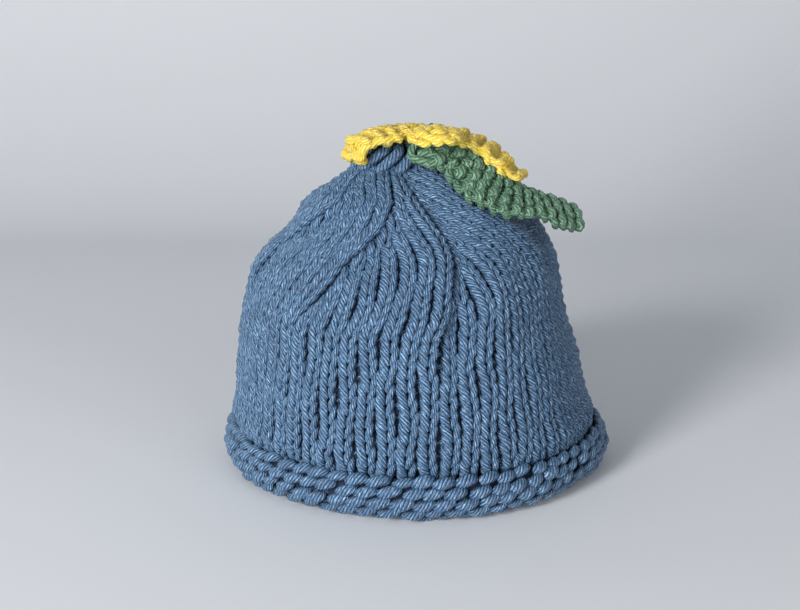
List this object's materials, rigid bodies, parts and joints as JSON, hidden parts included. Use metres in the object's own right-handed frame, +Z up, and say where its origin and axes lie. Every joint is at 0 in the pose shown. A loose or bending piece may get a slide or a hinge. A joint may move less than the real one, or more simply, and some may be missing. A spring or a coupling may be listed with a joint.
{
  "type": "knitted tea cosy",
  "caption": "Hollow knitted teapot cosy with a rolled hem, handle and spout slots, a gathered lobed crown, and a knitted flower and leaf on top.",
  "frame": {"origin": "under the middle of the object's box, on the surface that the rolled hem stands on", "axes": "+X towards the spout slot, -X towards the handle slot, -Y out of the front panel, +Z up"},
  "size_m": [0.139, 0.15, 0.1202],
  "materials": {
    "blue_yarn": "soft matt plied yarn with a slight sheen",
    "yellow_yarn": "soft matt plied yarn",
    "green_yarn": "soft matt plied yarn"
  },
  "bodies": {
    "root": {"front_panel": "blue_yarn", "back_panel": "blue_yarn", "flower": "yellow_yarn", "flower_centre": "blue_yarn", "leaf": "green_yarn"}
  },
  "joints": []
}
